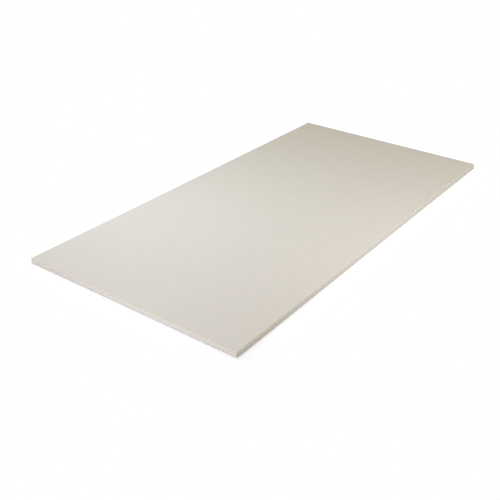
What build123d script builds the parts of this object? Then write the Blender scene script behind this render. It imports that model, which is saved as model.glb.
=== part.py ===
from build123d import *
import os

# A square-edged gypsum wallboard sheet, lying on its back with its finish face up.
#
# A foamed gypsum core has set between two plies of liner paper, so the sheet is one bonded piece.
# The face liner covers the finish side, turns down over both long edges and folds in under the back.
# The back liner laps over the fold and stops short of the edge. Both ends are sawn off square.
#
# X runs along the bound long edges, Y across the sheet, and Z up from the back to the finish face.
# The origin is the middle of the back, at the height of the surface that the sheet lies on.

# Sheet, in millimetres
LENGTH = 1200.0  # from one sawn end to the other
WIDTH = 600.0  # from one bound edge to the other
THICKNESS = 12.5  # from the back liner to the finish face

# Bound edges, where the face liner is creased twice
FACE_ARRIS_RADIUS = 1.2  # outer radius of the crease from the finish face down into the edge
BACK_ARRIS_RADIUS = 0.8  # outer radius of the crease from the edge in under the back

# Lap of the back liner over the folded-in face liner
LINER_THICKNESS = 0.4  # step down from the back liner to the bare fold
BARE_FOLD_WIDTH = 9.0  # strip of the fold that the back liner leaves bare


def bare_fold(side):
    """The shallow room along one bound edge where the back liner is missing from the section."""
    return Pos(side * WIDTH / 2, 0) * Rectangle(2 * BARE_FOLD_WIDTH, 2 * LINER_THICKNESS)


def bound_corners(section):
    """The section's corners at its two bound edges."""
    across = section.vertices().group_by(Axis.X)
    return across[0] + across[-1]


def sheet_section():
    """The section across the sheet, drawn with the back liner on the axis. It is the same at any length."""
    section = Rectangle(WIDTH, THICKNESS, align=(Align.CENTER, Align.MIN))
    section -= [bare_fold(-1), bare_fold(1)]
    section = fillet(bound_corners(section).group_by(Axis.Y)[-1], FACE_ARRIS_RADIUS)
    return fillet(bound_corners(section).group_by(Axis.Y)[0], BACK_ARRIS_RADIUS)


def drywall_sheet():
    """The whole sheet: its section run along the bound edges as far as both saw cuts."""
    return extrude(Plane.YZ * sheet_section(), LENGTH / 2, both=True)


os.makedirs("parts", exist_ok=True)
export_step(drywall_sheet(), "parts/drywall_sheet.step")
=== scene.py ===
"""A gypsum wallboard sheet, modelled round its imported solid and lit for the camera.

The sheet is one piece. Its finish face, long edges and the bare folds under its back are ivory liner
paper, the rest of its back is grey liner paper, and its two ends are sawn through paper and gypsum.
"""

import math

import bmesh
import bpy
from bpy.props import FloatProperty, FloatVectorProperty, PointerProperty
from mathutils import Matrix, Vector


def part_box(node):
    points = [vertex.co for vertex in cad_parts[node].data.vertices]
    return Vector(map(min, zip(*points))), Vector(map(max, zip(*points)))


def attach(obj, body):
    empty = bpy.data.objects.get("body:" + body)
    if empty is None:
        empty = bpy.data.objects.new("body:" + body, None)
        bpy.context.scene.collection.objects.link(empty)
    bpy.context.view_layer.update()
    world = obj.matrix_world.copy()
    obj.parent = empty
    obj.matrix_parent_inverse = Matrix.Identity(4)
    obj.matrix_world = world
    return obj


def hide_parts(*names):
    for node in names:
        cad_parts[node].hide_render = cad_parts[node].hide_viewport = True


bl_info = {
    "name": "Wallboard sheet",
    "version": (1, 0, 0),
    "blender": (4, 5, 0),
    "location": "3D View > Sidebar > Wallboard",
    "description": "Models a gypsum wallboard sheet with its liner papers, bound edges and sawn ends",
    "category": "Add Mesh",
}

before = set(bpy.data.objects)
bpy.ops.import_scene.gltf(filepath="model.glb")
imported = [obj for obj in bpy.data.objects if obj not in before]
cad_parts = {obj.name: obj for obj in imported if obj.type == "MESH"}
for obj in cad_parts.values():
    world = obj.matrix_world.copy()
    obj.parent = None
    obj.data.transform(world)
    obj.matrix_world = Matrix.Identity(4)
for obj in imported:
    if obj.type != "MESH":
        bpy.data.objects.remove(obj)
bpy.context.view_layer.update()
BOX_LOW, BOX_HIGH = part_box("drywall_sheet")

MM = 0.001
NEAR = 0.01 * MM  # two places closer than this are the same place
FLOOR_GAP = 0.2 * MM  # keeps the floor from showing through the sheet's back

# How far a face's normal, of length 1, reaches along an axis that the face looks along
ROUGHLY, SQUARELY = 0.5, 0.99

# Material slots of the sheet
FACE_LINER, BACK_LINER, CORE = range(3)

# Sockets of a Mix node that mixes colours
MIX_SHARE, MIX_FROM, MIX_TO, MIXED = 0, 6, 7, 2


def linear(hex_colour):
    """A six-digit sRGB hex colour as linear red, green and blue."""
    shares = [int(hex_colour[i : i + 2], 16) / 255 for i in (1, 3, 5)]
    return [c / 12.92 if c <= 0.04045 else ((c + 0.055) / 1.055) ** 2.4 for c in shares]


def size_prop(name, description, metres):
    """A length that a user may change in the sidebar."""
    return FloatProperty(
        name=name, description=description, default=metres, min=0, precision=5, unit="LENGTH"
    )


def strength_prop(name, description, strength):
    """A strength of light that a user may change in the sidebar. At 1 it is white."""
    return FloatProperty(name=name, description=description, default=strength, min=0)


def colour_prop(name, description, hex_colour):
    """A colour that a user may change in the sidebar."""
    return FloatVectorProperty(
        name=name, description=description, default=linear(hex_colour), min=0, max=1, subtype="COLOR"
    )


class WallboardSizes(bpy.types.PropertyGroup):
    """Sizes of the sheet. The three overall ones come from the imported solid."""

    length: size_prop("Length", "From one sawn end to the other", BOX_HIGH.x - BOX_LOW.x)
    width: size_prop("Width", "From one bound edge to the other", BOX_HIGH.y - BOX_LOW.y)
    thickness: size_prop("Thickness", "From the back liner to the finish face", BOX_HIGH.z - BOX_LOW.z)
    liner: size_prop("Liner", "Thickness of one ply of liner paper", 0.4 * MM)
    bare_fold: size_prop("Bare fold", "Strip of folded face liner that the back liner leaves bare", 9 * MM)
    fold: size_prop("Fold", "How far the face liner reaches in under the back", 24 * MM)
    face_arris: size_prop("Face arris", "Radius of the crease at the finish face", 1.2 * MM)
    back_arris: size_prop("Back arris", "Radius of the crease at the back", 0.8 * MM)
    saw_lip: size_prop("Saw lip", "How far the liners stand past the sawn core", 0.15 * MM)
    saw_relief: size_prop("Saw relief", "Depth of the deepest pits in the sawn core", 0.6 * MM)
    core_cell: size_prop("Core cell", "Size of a mesh cell on the sawn core", 1.5 * MM)
    board_cell: size_prop("Board cell", "Size of a mesh cell on the formed faces", 20 * MM)
    board_wave: size_prop("Board wave", "How far the formed faces wander from a plane", 0.12 * MM)


class WallboardColours(bpy.types.PropertyGroup):
    """Colours of the sheet's papers and core."""

    face_liner: colour_prop("Face liner", "Ivory paper of the finish face and long edges", "#DBD7CB")
    back_liner: colour_prop("Back liner", "Grey recycled paper of the back", "#BFBAAF")
    gypsum: colour_prop("Gypsum", "Set core where the saw has opened it", "#EBE5DA")


class WallboardStage(bpy.types.PropertyGroup):
    """The floor that the sheet lies on and the even light over it."""

    floor: colour_prop("Floor", "Pale matt floor", "#F0F0F0")
    floor_radius: size_prop("Floor radius", "Radius of the round floor", 30.0)
    contact_reach: size_prop("Contact reach", "How far off the sheet the floor starts to glow fully", 6 * MM)
    shadow_reach: size_prop("Shadow reach", "How far off the sheet the floor is plain white", 60 * MM)
    glow_left: strength_prop("Glow left", "What the floor glows for the eye at the left end", 0.22)
    glow_right: strength_prop("Glow right", "What the floor glows for the eye at the right end", 0.6)
    sky: strength_prop("Sky", "Even light from all round", 0.503)
    sky_colour: colour_prop("Sky colour", "Warm light that comes back from the room", "#FFF8E1")


def open_piece(piece):
    """Opens one piece in edit mode, with nothing selected in it or beside it."""
    bpy.ops.object.select_all(action="DESELECT")
    piece.select_set(True)
    bpy.context.view_layer.objects.active = piece
    bpy.ops.object.mode_set(mode="EDIT")
    bpy.ops.mesh.select_all(action="DESELECT")


def close_piece():
    """Goes back to object mode."""
    bpy.ops.object.mode_set(mode="OBJECT")


def pick(piece, kind, wanted):
    """Selects the open piece's VERT, EDGE or FACE parts that wanted() says yes to, and nothing else."""
    bpy.ops.mesh.select_mode(type=kind)
    bpy.ops.mesh.select_all(action="DESELECT")
    mesh = bmesh.from_edit_mesh(piece.data)
    parts = {"VERT": mesh.verts, "EDGE": mesh.edges, "FACE": mesh.faces}[kind]
    found = [part for part in parts if wanted(part)]
    if not found:
        raise RuntimeError(f"{piece.name} has no {kind} where one was looked for")
    for part in found:
        part.select_set(True)
    bmesh.update_edit_mesh(piece.data)


def evenly(low, high, cell):
    """The inner places that divide low to high into even cells, none larger than cell."""
    count = math.ceil((high - low) / cell)
    return [low + (high - low) * i / count for i in range(1, count)]


def middle(part):
    """The middle of an edge or a face."""
    return sum((point.co for point in part.verts), Vector()) / len(part.verts)


def add_blank(size):
    """The core and face ply as one block: a cube at the sheet's size, with its underside one ply up."""
    height = size.thickness - size.liner
    bpy.ops.object.select_all(action="DESELECT")
    bpy.ops.mesh.primitive_cube_add(
        size=1, location=(0, 0, size.liner + height / 2), scale=(size.length, size.width, height)
    )
    sheet = bpy.context.object
    sheet.name = sheet.data.name = "wallboard"
    bpy.ops.object.transform_apply(location=True, rotation=True, scale=True)
    return sheet


def lay_back_liner(sheet, size):
    """Extrudes the back liner down from between the two bare folds."""
    lap = size.width / 2 - size.bare_fold
    for side in (-lap, lap):
        bpy.ops.mesh.select_all(action="SELECT")
        bpy.ops.mesh.bisect(plane_co=(0, side, 0), plane_no=(0, 1, 0))
    pick(sheet, "FACE", lambda face: face.normal.z < -ROUGHLY and abs(middle(face).y) < lap)
    bpy.ops.mesh.extrude_region_move(TRANSFORM_OT_translate={"value": (0, 0, -size.liner)})
    for outward in (Vector((0, 0, 1)), Vector((1, 0, 0)), Vector((-1, 0, 0))):
        pick(sheet, "FACE", lambda face: face.normal.dot(outward) > ROUGHLY)
        bpy.ops.mesh.dissolve_faces(use_verts=True)


def crease_bound_edges(sheet, size):
    """Rounds both creases of each bound edge, at the finish face and at the bare fold."""
    for height, radius, steps in ((size.thickness, size.face_arris, 6), (size.liner, size.back_arris, 5)):
        crease = Vector((0, size.width / 2, height))
        pick(sheet, "EDGE", lambda edge: (Vector(map(abs, middle(edge))) - crease).length < NEAR)
        bpy.ops.mesh.bevel(offset_type="OFFSET", offset=radius, segments=steps, profile=0.5, affect="EDGES")


def cut_board_cells(sheet, size):
    """Cuts the formed faces into cells that are small enough to follow the board's slow wave."""
    half_length, half_width = size.length / 2, size.width / 2
    for place in evenly(-half_length, half_length, size.board_cell):
        bpy.ops.mesh.select_all(action="SELECT")
        bpy.ops.mesh.bisect(plane_co=(place, 0, 0), plane_no=(1, 0, 0))
    for place in evenly(-half_width, half_width, size.board_cell):
        pick(sheet, "FACE", lambda face: abs(face.normal.z) > SQUARELY)
        bpy.ops.mesh.bisect(plane_co=(0, place, 0), plane_no=(0, 1, 0))


def saw_ends(sheet, size):
    """Insets each end by one ply for the liners' cut edges, and sets the core a little behind them."""
    pick(sheet, "FACE", lambda face: abs(face.normal.x) > ROUGHLY)
    bpy.ops.mesh.inset(thickness=size.liner, depth=0, use_individual=True)
    bpy.ops.mesh.inset(thickness=size.saw_lip, depth=-size.saw_lip, use_individual=True)
    sheet.active_material_index = CORE
    bpy.ops.object.material_slot_assign()


def cut_core_cells(sheet, size):
    """Cuts both sawn cores into even cells, with one row as high as the folded face liner."""
    half = size.width / 2
    fold_top = 2 * size.liner
    columns = evenly(-half, half, size.core_cell)
    rows = [fold_top, *evenly(fold_top, size.thickness - size.liner, size.core_cell)]
    sheet.active_material_index = CORE
    for normal, places in ((Vector((0, 1, 0)), columns), (Vector((0, 0, 1)), rows)):
        for place in places:
            bpy.ops.mesh.select_all(action="DESELECT")
            bpy.ops.object.material_slot_select()
            bpy.ops.mesh.bisect(plane_co=normal * place, plane_no=normal)


def paint_plies(sheet, size):
    """Gives each face the ply that it shows: back liner under the lap, folded face liner beside it."""
    lap = size.width / 2 - size.bare_fold
    fold_edge = size.width / 2 - size.fold

    def of_back_liner(face):
        place = middle(face)
        return place.z < size.liner - NEAR and abs(place.y) < lap + NEAR and face.material_index != CORE

    def of_fold(face):
        place = middle(face)
        return place.z < 2 * size.liner and abs(place.y) > fold_edge and face.material_index == CORE

    for slot, wanted in ((BACK_LINER, of_back_liner), (FACE_LINER, of_fold)):
        pick(sheet, "FACE", wanted)
        sheet.active_material_index = slot
        bpy.ops.object.material_slot_assign()


def group_points(sheet, name, wanted):
    """Names a group of the open sheet's points."""
    pick(sheet, "VERT", wanted)
    bpy.ops.object.vertex_group_add()
    sheet.vertex_groups[-1].name = name
    bpy.ops.object.vertex_group_assign()


def group_relief(sheet, size):
    """Groups the points that the saw has torn on each core and the ones that wave on each formed face."""
    half_length, half_width = size.length / 2, size.width / 2
    core_plane = half_length - size.saw_lip
    # The finish face lies still beside its creases, and each edge takes half a crease along.
    face_reach = half_width - 5 * size.face_arris
    edge_reach = half_width - size.back_arris / 2

    def on_core(point, side):
        torn = all(face.material_index == CORE for face in point.link_faces)
        return torn and abs(side * point.co.x - core_plane) < NEAR

    for name, side in (("core_left", -1), ("core_right", 1)):
        group_points(sheet, name, lambda point: on_core(point, side))
    group_points(
        sheet, "face", lambda point: abs(point.co.z - size.thickness) < NEAR and abs(point.co.y) < face_reach
    )
    for name, side in (("edge_front", -1), ("edge_back", 1)):
        group_points(sheet, name, lambda point: side * point.co.y > edge_reach)


def split_many_cornered(sheet):
    """Splits the faces beside the cells, which the cuts have given many corners, into sound triangles."""
    pick(sheet, "FACE", lambda face: len(face.verts) > 4)
    bpy.ops.mesh.quads_convert_to_tris(quad_method="BEAUTY", ngon_method="BEAUTY")


def displace(sheet, group, texture, direction, depth):
    """Pushes a group of points in along one axis, by up to depth, where the texture is dark."""
    push = sheet.modifiers.new(group, "DISPLACE")
    push.vertex_group = group
    push.texture = texture
    push.texture_coords = "LOCAL"
    push.direction = direction
    push.mid_level = 1
    push.strength = depth
    bpy.ops.object.modifier_apply(modifier=push.name)


def roughen(sheet, size):
    """Tears the sawn cores and lets the formed faces wander, always into the sheet and never out of it."""
    pits = bpy.data.textures.new("gypsum_pits", "VORONOI")
    pits.noise_scale = 3 * MM  # from pit to pit
    wave = bpy.data.textures.new("board_wave", "CLOUDS")
    wave.noise_scale = 120 * MM  # from crest to crest
    for group, texture, direction, depth in (
        ("core_left", pits, "X", -size.saw_relief),
        ("core_right", pits, "X", size.saw_relief),
        ("face", wave, "Z", size.board_wave),
        ("edge_front", wave, "Y", -size.board_wave),
        ("edge_back", wave, "Y", size.board_wave),
    ):
        displace(sheet, group, texture, direction, depth)


def smooth(sheet):
    """Shades the creases round and keeps the flats flat right up to them."""
    bpy.ops.object.shade_smooth_by_angle(angle=math.radians(30))
    weighted = sheet.modifiers.new("flats", "WEIGHTED_NORMAL")
    weighted.keep_sharp = True
    bpy.ops.object.modifier_apply(modifier=weighted.name)


def per_metre(millimetres):
    """The texture scale at which a pattern repeats about once in this many millimetres."""
    return 1 / (millimetres * MM)


def add_node(tree, kind, inputs=None, **settings):
    """Adds a node with its settings. Each input gets a value, or a link where it is another node's output."""
    node = tree.nodes.new(kind)
    for name, value in settings.items():
        setattr(node, name, value)
    for key, value in (inputs or {}).items():
        if isinstance(value, bpy.types.NodeSocket):
            tree.links.new(value, node.inputs[key])
        else:
            node.inputs[key].default_value = value
    return node


def new_material(name):
    """An empty node material and the place of each point on the piece."""
    material = bpy.data.materials.new(name)
    material.use_nodes = True
    tree = material.node_tree
    tree.nodes.clear()
    return material, tree, add_node(tree, "ShaderNodeTexCoord").outputs["Object"]


def tinted(colour, share):
    """A colour made lighter or darker by a share, as red, green, blue and alpha."""
    return [*(min(1, c * share) for c in colour), 1]


def laid_over(tree, ground, colour, pattern, low, high, most=1.0):
    """A ground colour that goes over to another, by up to most, as a pattern goes from low to high."""
    share = add_node(
        tree, "ShaderNodeMapRange", {"Value": pattern, "From Min": low, "From Max": high, "To Max": most}
    )
    return add_node(
        tree,
        "ShaderNodeMix",
        {MIX_SHARE: share.outputs[0], MIX_FROM: ground, MIX_TO: colour},
        data_type="RGBA",
    ).outputs[MIXED]


def cloudy(tree, place, spacing, dark, pale):
    """A colour that drifts between dark and pale in clouds of the given spacing in millimetres."""
    clouds = add_node(
        tree,
        "ShaderNodeTexNoise",
        {"Vector": place, "Scale": per_metre(spacing), "Detail": 4.0, "Roughness": 0.6},
    )
    # Noise goes from 0 to 1 and seldom leaves the middle part.
    return laid_over(tree, dark, pale, clouds.outputs[0], low=0.3, high=0.7)


def spotted(tree, place, spacing, widest, rim=0.2):
    """Full in uneven spots, one about every spacing and mostly up to widest across, in millimetres.

    The rim is the share of widest over which a spot goes from nothing to full.
    """
    stray = 0.7 * widest * MM  # how far an outline strays from round
    noise = add_node(tree, "ShaderNodeTexNoise", {"Vector": place, "Scale": per_metre(widest)})
    strayed = add_node(
        tree,
        "ShaderNodeVectorMath",
        {0: noise.outputs["Color"], 1: (stray, stray, stray), 2: place},
        operation="MULTIPLY_ADD",
    )
    cells = add_node(
        tree, "ShaderNodeTexVoronoi", {"Vector": strayed.outputs[0], "Scale": per_metre(spacing)}
    )
    # Each cell has a colour of its own, by which its spot is large or small.
    radius = add_node(
        tree, "ShaderNodeMath", {0: cells.outputs["Color"], 1: widest / spacing}, operation="MULTIPLY"
    )
    inside = add_node(
        tree, "ShaderNodeMath", {0: radius.outputs[0], 1: cells.outputs["Distance"]}, operation="SUBTRACT"
    )
    return add_node(
        tree,
        "ShaderNodeMapRange",
        {"Value": inside.outputs[0], "From Min": 0.0, "From Max": rim * widest / spacing},
    ).outputs[0]


def calendered_liner_paper(colour, size):
    """Ivory liner paper, pressed smooth between hot rolls."""
    material, tree, place = new_material("calendered_liner_paper")
    # The pulp settles in soft clouds of about 8 mm. They are drawn at 20 mm, so that they show.
    clouded = cloudy(tree, place, spacing=20, dark=tinted(colour, 0.988), pale=tinted(colour, 1.012))
    # The paper runs through the mill along X, which lays its fibres that way. They are 2 mm long and too thin
    # to show, so they are drawn as streaks 8 mm wide, and as a grain 1.2 mm wide that shows close up.
    drawn_out = add_node(tree, "ShaderNodeMapping", {"Vector": place, "Scale": (1 / 5, 1, 1)})
    streaks = add_node(
        tree,
        "ShaderNodeTexNoise",
        {"Vector": drawn_out.outputs[0], "Scale": per_metre(8), "Detail": 4.0},
    )
    streaked = laid_over(
        tree, clouded, tinted(colour, 0.965), streaks.outputs[0], low=0.45, high=0.7, most=0.5
    )
    laid = add_node(tree, "ShaderNodeMapping", {"Vector": place, "Scale": (1 / 4, 1, 1)})
    fibres = add_node(
        tree,
        "ShaderNodeTexNoise",
        {"Vector": laid.outputs[0], "Scale": per_metre(1.2), "Detail": 3.0, "Roughness": 0.6},
    )
    fibred = laid_over(
        tree, streaked, tinted(colour, 0.94), fibres.outputs[0], low=0.5, high=0.75, most=0.6
    )
    # Bark leaves a fleck of under 1 mm here and there. It is drawn at 1.4 mm, so that it shows.
    bark = spotted(tree, place, spacing=14, widest=1.4)
    flecked = laid_over(tree, fibred, tinted(colour, 0.72), bark, low=0, high=1, most=0.6)
    # Along the crease round each long edge the paper is painted paler: partly where the plies part a little,
    # partly a painted highlight on the arris.
    across = add_node(tree, "ShaderNodeVectorMath", {0: place}, operation="ABSOLUTE")
    from_crease = add_node(
        tree,
        "ShaderNodeVectorMath",
        {0: across.outputs[0], 1: (0, size.width / 2, size.thickness)},
        operation="SUBTRACT",
    )
    in_section = add_node(
        tree, "ShaderNodeVectorMath", {0: from_crease.outputs[0], 1: (0, 1, 1)}, operation="MULTIPLY"
    )
    reach = add_node(tree, "ShaderNodeVectorMath", {0: in_section.outputs[0]}, operation="LENGTH")
    parted_and_highlit = laid_over(
        tree,
        flecked,
        tinted(colour, 1.12),
        reach.outputs["Value"],
        low=2 * size.face_arris,
        high=size.face_arris / 2,
        most=0.5,
    )
    # Hot rolls flatten the fibres that stand up, so the streaks between them have a little more sheen.
    dryness = add_node(
        tree, "ShaderNodeMapRange", {"Value": streaks.outputs[0], "To Min": 0.64, "To Max": 0.8}
    )
    relief = add_node(
        tree, "ShaderNodeBump", {"Height": fibres.outputs[0], "Distance": 0.03 * MM, "Strength": 1.0}
    )
    paper = add_node(
        tree,
        "ShaderNodeBsdfPrincipled",
        {"Base Color": parted_and_highlit, "Roughness": dryness.outputs[0], "IOR": 1.45, "Normal": relief.outputs[0]},
    )
    add_node(tree, "ShaderNodeOutputMaterial", {"Surface": paper.outputs[0]})
    return material


def uncoated_recycled_paper(colour):
    """Grey liner paper of old board and newsprint, dried unpressed, so it is soft, dull and flecked."""
    material, tree, place = new_material("uncoated_recycled_paper")
    # Unpressed pulp stays cloudy, in patches of about 25 mm, with a nap of loose fibre drawn at 2 mm.
    clouded = cloudy(tree, place, spacing=25, dark=tinted(colour, 0.95), pale=tinted(colour, 1.05))
    nap = add_node(
        tree,
        "ShaderNodeTexNoise",
        {"Vector": place, "Scale": per_metre(2), "Detail": 5.0, "Roughness": 0.65},
    )
    napped = laid_over(tree, clouded, tinted(colour, 0.86), nap.outputs[0], low=0.45, high=0.7, most=0.8)
    # Scraps of old print are dark and scraps of white board are pale. Most are 1 mm, drawn at up to 2 mm.
    print_scraps = spotted(tree, place, spacing=5, widest=1.6)
    printed = laid_over(tree, napped, tinted(colour, 0.58), print_scraps, low=0, high=1, most=0.5)
    board_scraps = spotted(tree, place, spacing=8, widest=2)
    flecked = laid_over(tree, printed, tinted(colour, 1.22), board_scraps, low=0, high=1, most=0.5)
    relief = add_node(
        tree, "ShaderNodeBump", {"Height": nap.outputs[0], "Distance": 0.12 * MM, "Strength": 1.0}
    )
    paper = add_node(
        tree,
        "ShaderNodeBsdfPrincipled",
        {"Base Color": flecked, "Roughness": 0.88, "IOR": 1.45, "Normal": relief.outputs[0]},
    )
    add_node(tree, "ShaderNodeOutputMaterial", {"Surface": paper.outputs[0]})
    return material


def sawn_gypsum(colour):
    """Foamed gypsum opened by a saw: chalky and off-white, with bubble pits that are painted darker inside as
    painted shade, and scored by the teeth.
    """
    material, tree, place = new_material("sawn_gypsum")
    # Dust from the saw lies in patches of about 6 mm, on a crystal grain drawn at 0.8 mm.
    dusted = cloudy(tree, place, spacing=6, dark=tinted(colour, 0.96), pale=tinted(colour, 1.03))
    grain = add_node(
        tree,
        "ShaderNodeTexNoise",
        {"Vector": place, "Scale": per_metre(0.8), "Detail": 5.0, "Roughness": 0.7},
    )
    grained = laid_over(tree, dusted, tinted(colour, 0.88), grain.outputs[0], low=0.5, high=0.75, most=0.7)
    # Foam bubbles are 0.1 to 0.5 mm across, with a larger one now and then. The saw opens them as bowls.
    small = spotted(tree, place, spacing=0.65, widest=0.32, rim=0.5)
    large = spotted(tree, place, spacing=2.4, widest=0.75, rim=0.5)
    bubbles = add_node(tree, "ShaderNodeMath", {0: small, 1: large}, operation="MAXIMUM").outputs[0]
    # Each opened bubble is painted darker towards its middle, as painted shade in the bowl.
    with_painted_pit_shade = laid_over(tree, grained, tinted(colour, 0.74), bubbles, low=0, high=1, most=0.6)
    # A circular saw scores the end in lines 1.2 mm apart, which lean as the blade leaves the sheet.
    # The texture's own period is pi / 10 of its scale.
    lean = add_node(tree, "ShaderNodeMapping", {"Vector": place, "Rotation": (math.radians(25), 0, 0)})
    scores = add_node(
        tree,
        "ShaderNodeTexWave",
        {"Vector": lean.outputs[0], "Scale": per_metre(1.2) * math.pi / 10, "Distortion": 4.0, "Detail": 3.0},
        wave_type="BANDS",
        bands_direction="Y",
    )
    scored = add_node(
        tree, "ShaderNodeBump", {"Height": scores.outputs[0], "Distance": 0.05 * MM, "Strength": 1.0}
    )
    grainy = add_node(
        tree,
        "ShaderNodeBump",
        {"Height": grain.outputs[0], "Distance": 0.12 * MM, "Strength": 1.0, "Normal": scored.outputs[0]},
    )
    relief = add_node(
        tree,
        "ShaderNodeBump",
        {"Height": bubbles, "Distance": 0.23 * MM, "Strength": 1.0, "Normal": grainy.outputs[0]},
        invert=True,
    )
    chalk = add_node(
        tree,
        "ShaderNodeBsdfPrincipled",
        {"Base Color": with_painted_pit_shade, "Roughness": 0.92, "IOR": 1.52, "Normal": relief.outputs[0]},
    )
    add_node(tree, "ShaderNodeOutputMaterial", {"Surface": chalk.outputs[0]})
    return material


def seen(tree):
    """Full for a ray that is seen straight on, in a gloss or through glass, and none for one that lights."""
    path = add_node(tree, "ShaderNodeLightPath")
    straight_or_glossy = add_node(
        tree,
        "ShaderNodeMath",
        {0: path.outputs["Is Camera Ray"], 1: path.outputs["Is Glossy Ray"]},
        operation="MAXIMUM",
    )
    either = add_node(
        tree,
        "ShaderNodeMath",
        {0: straight_or_glossy.outputs[0], 1: path.outputs["Is Transmission Ray"]},
        operation="MAXIMUM",
    )
    return either.outputs[0]


def painted_floor(look, size):
    """Matt white paint on a level floor that keeps the sheet's shadow and looks plain white away from it."""
    material, tree, place = new_material("painted_floor")
    paint = add_node(tree, "ShaderNodeBsdfDiffuse", {"Color": [*look.floor, 1]})
    # How far each point of the floor lies off the sheet's outline
    across = add_node(tree, "ShaderNodeVectorMath", {0: place}, operation="ABSOLUTE")
    outside = add_node(
        tree,
        "ShaderNodeVectorMath",
        {0: across.outputs[0], 1: (size.length / 2, size.width / 2, 0)},
        operation="SUBTRACT",
    )
    off_sheet = add_node(tree, "ShaderNodeVectorMath", {0: outside.outputs[0]}, operation="MAXIMUM")
    reach = add_node(tree, "ShaderNodeVectorMath", {0: off_sheet.outputs[0]}, operation="LENGTH")
    # To the eye the paint glows, more so to the right, where less lamp light falls on it. Close to the sheet
    # it glows less, which adds painted shade along the line where they meet, on top of the real shadow there.
    sides = add_node(tree, "ShaderNodeSeparateXYZ", {0: place})
    fullest = add_node(
        tree,
        "ShaderNodeMapRange",
        {
            "Value": sides.outputs["X"],
            "From Min": -size.length / 2,
            "From Max": size.length / 2,
            "To Min": look.glow_left,
            "To Max": look.glow_right,
        },
    )
    strength = add_node(
        tree,
        "ShaderNodeMapRange",
        {
            "Value": reach.outputs["Value"],
            "From Min": 0.0,
            "From Max": look.contact_reach,
            "To Max": fullest.outputs[0],
        },
    )
    glow = add_node(tree, "ShaderNodeEmission", {"Color": (1, 1, 1, 1), "Strength": strength.outputs[0]})
    near = add_node(tree, "ShaderNodeAddShader", {0: paint.outputs[0], 1: glow.outputs[0]})
    # Further from the sheet it goes over to white.
    away = add_node(
        tree,
        "ShaderNodeMapRange",
        {
            "Value": reach.outputs["Value"],
            "From Min": look.contact_reach,
            "From Max": look.shadow_reach,
        },
    )
    white = add_node(tree, "ShaderNodeEmission", {"Color": (1, 1, 1, 1), "Strength": 1.0})
    to_the_eye = add_node(
        tree, "ShaderNodeMixShader", {0: away.outputs[0], 1: near.outputs[0], 2: white.outputs[0]}
    )
    surface = add_node(
        tree, "ShaderNodeMixShader", {0: seen(tree), 1: paint.outputs[0], 2: to_the_eye.outputs[0]}
    )
    add_node(tree, "ShaderNodeOutputMaterial", {"Surface": surface.outputs[0]})
    return material


class WALLBOARD_OT_sheet(bpy.types.Operator):
    """Models the sheet: a block with lapped liners, creased long edges and sawn ends"""

    bl_idname = "wallboard.sheet"
    bl_label = "Add Sheet"

    def execute(self, context):
        size, colours = context.scene.wallboard_sizes, context.scene.wallboard_colours
        sheet = add_blank(size)
        sheet.data.materials.append(calendered_liner_paper(colours.face_liner, size))
        sheet.data.materials.append(uncoated_recycled_paper(colours.back_liner))
        sheet.data.materials.append(sawn_gypsum(colours.gypsum))
        open_piece(sheet)
        lay_back_liner(sheet, size)
        crease_bound_edges(sheet, size)
        cut_board_cells(sheet, size)
        saw_ends(sheet, size)
        cut_core_cells(sheet, size)
        paint_plies(sheet, size)
        group_relief(sheet, size)
        split_many_cornered(sheet)
        close_piece()
        roughen(sheet, size)
        smooth(sheet)
        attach(sheet, "root")
        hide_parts("drywall_sheet")
        return {"FINISHED"}


def add_floor(look, size):
    """A round level floor just under the sheet."""
    bpy.ops.object.select_all(action="DESELECT")
    bpy.ops.mesh.primitive_circle_add(
        vertices=96, radius=look.floor_radius, fill_type="NGON", location=(0, 0, -FLOOR_GAP)
    )
    floor = bpy.context.object
    floor.name = floor.data.name = "floor"
    bpy.ops.object.transform_apply(location=True, rotation=True, scale=True)
    floor.data.materials.append(painted_floor(look, size))


def light_sky(look):
    """Even light from all round, and plain white wherever it is seen."""
    world = bpy.data.worlds.new("studio_sky")
    bpy.context.scene.world = world
    world.use_nodes = True
    tree = world.node_tree
    tree.nodes.clear()
    sky = add_node(tree, "ShaderNodeBackground", {"Color": [*look.sky_colour, 1], "Strength": look.sky})
    white = add_node(tree, "ShaderNodeBackground", {"Color": (1, 1, 1, 1), "Strength": 1.0})
    mixed = add_node(tree, "ShaderNodeMixShader", {0: seen(tree), 1: sky.outputs[0], 2: white.outputs[0]})
    add_node(tree, "ShaderNodeOutputWorld", {"Surface": mixed.outputs[0]})


# Each lamp's name, place, point that it faces, side, watts and colour. The three after the first make up for
# the light that falls off towards the right end, on the far part of the face, its near part and the long
# edge. The last one lights the middle of the near end a little more than its corners.
LAMPS = (
    ("left_lamp", (-1.24, -0.1, 0.86), (0, 0, 0), 0.51, 6.5, "#DFE2FF"),
    ("far_edge_lamp", (-0.38, 0.42, 0.71), (0.6, 0.28, 0), 0.4, 3.45, "#E3E9FF"),
    ("near_edge_lamp", (0.1, -0.685, 0.505), (0.57, 0.13, 0), 0.87, 2.9, "#EFEFFF"),
    ("low_edge_lamp", (0.84, -0.64, 0.1), (0.6, -0.3, 0.006), 0.2, 0.15, "#FFFFFF"),
    ("low_end_lamp", (-0.84, -0.04, 0.06), (-0.6, -0.04, 0.006), 0.12, 0.03, "#FFFDF8"),
)


def add_lamp(name, place, aim, side, watts, hex_colour):
    """A square soft box that faces a point on the sheet, unseen by the camera."""
    bpy.ops.object.light_add(type="AREA", location=place)
    lamp = bpy.context.object
    lamp.name = lamp.data.name = name
    lamp.rotation_euler = (Vector(aim) - Vector(place)).to_track_quat("-Z", "Y").to_euler()
    lamp.data.size = side
    lamp.data.energy = watts
    lamp.data.color = linear(hex_colour)
    lamp.visible_camera = False


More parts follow.
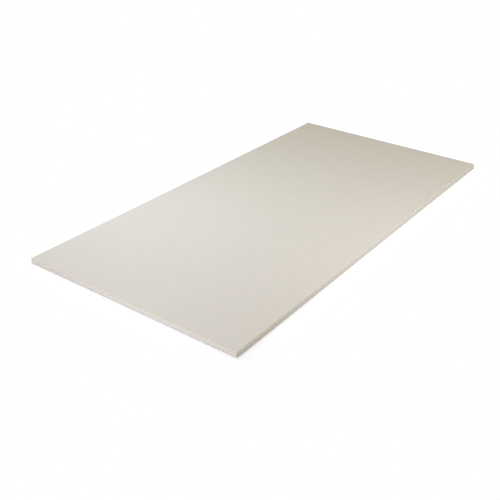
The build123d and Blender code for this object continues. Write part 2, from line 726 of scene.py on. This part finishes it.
def add_camera():
    """The camera, looking down on the sheet over its near corner."""
    # Its place, turn and lens are a fit to the sheet's corners as they are seen.
    heading, tilt, roll = math.radians(35.761), math.radians(28.966), math.radians(1.031)
    bpy.ops.object.camera_add(location=(-1.5449, -1.0077, 0.8917))
    camera = bpy.context.object
    camera.name = camera.data.name = "camera"
    turn = (
        Matrix.Rotation(heading - math.pi / 2, 4, "Z")
        @ Matrix.Rotation(math.pi / 2 - tilt, 4, "X")
        @ Matrix.Rotation(roll, 4, "Z")
    )
    camera.rotation_euler = turn.to_euler()
    camera.data.sensor_width = 36
    camera.data.lens = 54.582
    camera.data.clip_start = 0.05
    bpy.context.scene.camera = camera


class WALLBOARD_OT_stage(bpy.types.Operator):
    """Adds the pale floor, the soft light and the camera"""

    bl_idname = "wallboard.stage"
    bl_label = "Add Stage"

    def execute(self, context):
        look = context.scene.wallboard_stage
        add_floor(look, context.scene.wallboard_sizes)
        light_sky(look)
        for lamp in LAMPS:
            add_lamp(*lamp)
        add_camera()
        context.scene.view_settings.view_transform = "Standard"
        return {"FINISHED"}


class WALLBOARD_PT_panel(bpy.types.Panel):
    """Lists the sheet's sizes, colours and operators"""

    bl_idname = "WALLBOARD_PT_panel"
    bl_label = "Wallboard"
    bl_space_type = "VIEW_3D"
    bl_region_type = "UI"
    bl_category = "Wallboard"

    def draw(self, context):
        for group in (
            context.scene.wallboard_sizes,
            context.scene.wallboard_colours,
            context.scene.wallboard_stage,
        ):
            box = self.layout.box()
            for name in group.__annotations__:
                box.prop(group, name)
        self.layout.operator(WALLBOARD_OT_sheet.bl_idname)
        self.layout.operator(WALLBOARD_OT_stage.bl_idname)


CLASSES = (
    WallboardSizes,
    WallboardColours,
    WallboardStage,
    WALLBOARD_OT_sheet,
    WALLBOARD_OT_stage,
    WALLBOARD_PT_panel,
)


def register():
    for cls in CLASSES:
        bpy.utils.register_class(cls)
    bpy.types.Scene.wallboard_sizes = PointerProperty(type=WallboardSizes)
    bpy.types.Scene.wallboard_colours = PointerProperty(type=WallboardColours)
    bpy.types.Scene.wallboard_stage = PointerProperty(type=WallboardStage)


def unregister():
    del bpy.types.Scene.wallboard_stage
    del bpy.types.Scene.wallboard_colours
    del bpy.types.Scene.wallboard_sizes
    for cls in reversed(CLASSES):
        bpy.utils.unregister_class(cls)


def main():
    """Registers the add-on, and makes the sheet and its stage."""
    register()
    bpy.ops.wallboard.sheet()
    bpy.ops.wallboard.stage()


if __name__ == "__main__":
    main()
